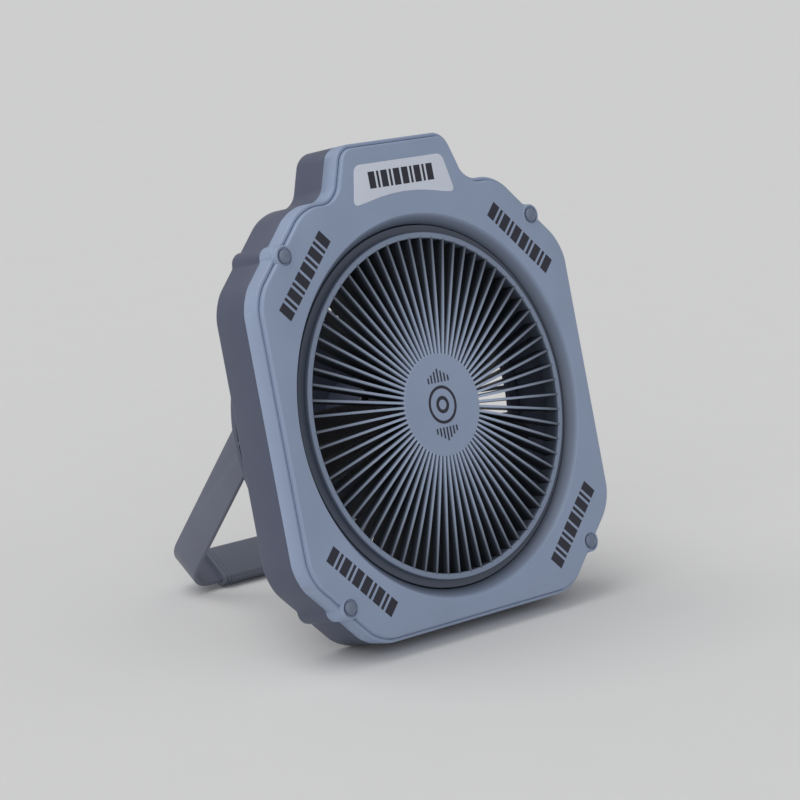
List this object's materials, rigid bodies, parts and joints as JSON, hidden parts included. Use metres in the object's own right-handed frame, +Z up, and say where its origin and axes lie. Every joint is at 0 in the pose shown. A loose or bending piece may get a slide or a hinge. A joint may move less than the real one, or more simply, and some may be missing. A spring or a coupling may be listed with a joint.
{
  "type": "box fan",
  "caption": "Chamfered square table fan with a radial front grille, caged rear guard, battery hump on top and a fold-out strap stand it leans back on.",
  "frame": {"origin": "centre of the footprint on the floor, with the body leaning back on its open stand", "axes": "-Y is where the air leaves, +X is to the right seen from the front, +Z up"},
  "size_m": [0.257, 0.203, 0.2881],
  "materials": {
    "bezel_plastic": "fine satin moulded texture",
    "housing_plastic": "fine satin moulded texture",
    "plate_plastic": "smooth semi-gloss",
    "impeller_plastic": "satin",
    "stand_metal": "satin powder coat",
    "grip_rubber": "matte",
    "steel": "zinc plated",
    "bronze": "sintered",
    "motor_metal": "plated can",
    "magnet": "sintered ferrite",
    "copper": "enamelled wire",
    "board_green": "solder mask",
    "cell_wrap": "shrink wrapped cell",
    "tray_plastic": "satin",
    "lens_plastic": "frosted"
  },
  "bodies": {
    "housing": {"front_bezel": "bezel_plastic", "screw_cap_top_right": "bezel_plastic", "screw_cap_top_left": "bezel_plastic", "screw_cap_bottom_left": "bezel_plastic", "screw_cap_bottom_right": "bezel_plastic", "name_plate": "plate_plastic", "rear_housing": "housing_plastic", "rear_guard": "housing_plastic", "rubber_foot_left": "grip_rubber", "rubber_foot_right": "grip_rubber", "friction_washer_left": "grip_rubber", "friction_washer_right": "grip_rubber", "motor_plate": "steel", "usb_port": "steel", "motor_screw_1": "steel", "motor_screw_2": "steel", "plate_screw_1": "steel", "plate_screw_2": "steel", "plate_screw_3": "steel", "board_screw_1": "steel", "board_screw_2": "steel", "pivot_screw_left": "steel", "pivot_screw_right": "steel", "pivot_nut_left": "steel", "pivot_nut_right": "steel", "corner_screw_top_right": "steel", "corner_screw_top_left": "steel", "corner_screw_bottom_left": "steel", "corner_screw_bottom_right": "steel", "guard_screw_top_right": "steel", "guard_screw_top_left": "steel", "guard_screw_bottom_left": "steel", "guard_screw_bottom_right": "steel", "motor_can": "motor_metal", "magnet_ring": "magnet", "front_bush": "bronze", "rear_bush": "bronze", "motor_end_cap": "tray_plastic", "battery_tray": "tray_plastic", "control_board": "board_green", "battery_cell_1": "cell_wrap", "battery_cell_2": "cell_wrap", "indicator_lens": "lens_plastic"},
    "grille": {"front_grille": "bezel_plastic", "hub_badge": "bezel_plastic"},
    "rotor": {"impeller": "impeller_plastic", "impeller_nut": "steel", "motor_shaft": "steel", "armature": "copper", "commutator": "copper"},
    "stand": {"stand_bail": "stand_metal", "stand_grip": "grip_rubber"},
    "power_button": {"power_button": "bezel_plastic"},
    "speed_up_button": {"speed_up_button": "bezel_plastic"},
    "speed_down_button": {"speed_down_button": "bezel_plastic"},
    "port_cover": {"port_cover": "grip_rubber"}
  },
  "joints": [
    {"name": "fan_spin", "type": "hinge", "parent": "housing", "child": "rotor", "pos_m": [0, -0.06589, 0.1334], "axis": [0, -0.9651, 0.262], "continuous": true},
    {"name": "grille_twist", "type": "hinge", "parent": "housing", "child": "grille", "pos_m": [0, -0.06589, 0.1334], "axis": [0, -0.9651, 0.262], "range_deg": [0, 24]},
    {"name": "stand_fold", "type": "hinge", "parent": "housing", "child": "stand", "pos_m": [0, 0.0229, 0.1093], "axis": [1, 0, 0], "range_deg": [-48.5, 131]},
    {"name": "power_button_press", "type": "slide", "parent": "housing", "child": "power_button", "axis": [0, -0.9651, 0.262], "range_m": [0, 0.0006], "stiffness_N_per_m": 2000},
    {"name": "speed_up_button_press", "type": "slide", "parent": "housing", "child": "speed_up_button", "axis": [0, -0.9651, 0.262], "range_m": [0, 0.0006], "stiffness_N_per_m": 2000},
    {"name": "speed_down_button_press", "type": "slide", "parent": "housing", "child": "speed_down_button", "axis": [0, -0.9651, 0.262], "range_m": [0, 0.0006], "stiffness_N_per_m": 2000},
    {"name": "port_cover_open", "type": "hinge", "parent": "housing", "child": "port_cover", "pos_m": [-0.008, 0.0025, 0.24332], "axis": [0, 0.262, 0.9651], "range_deg": [0, 110]}
  ]
}
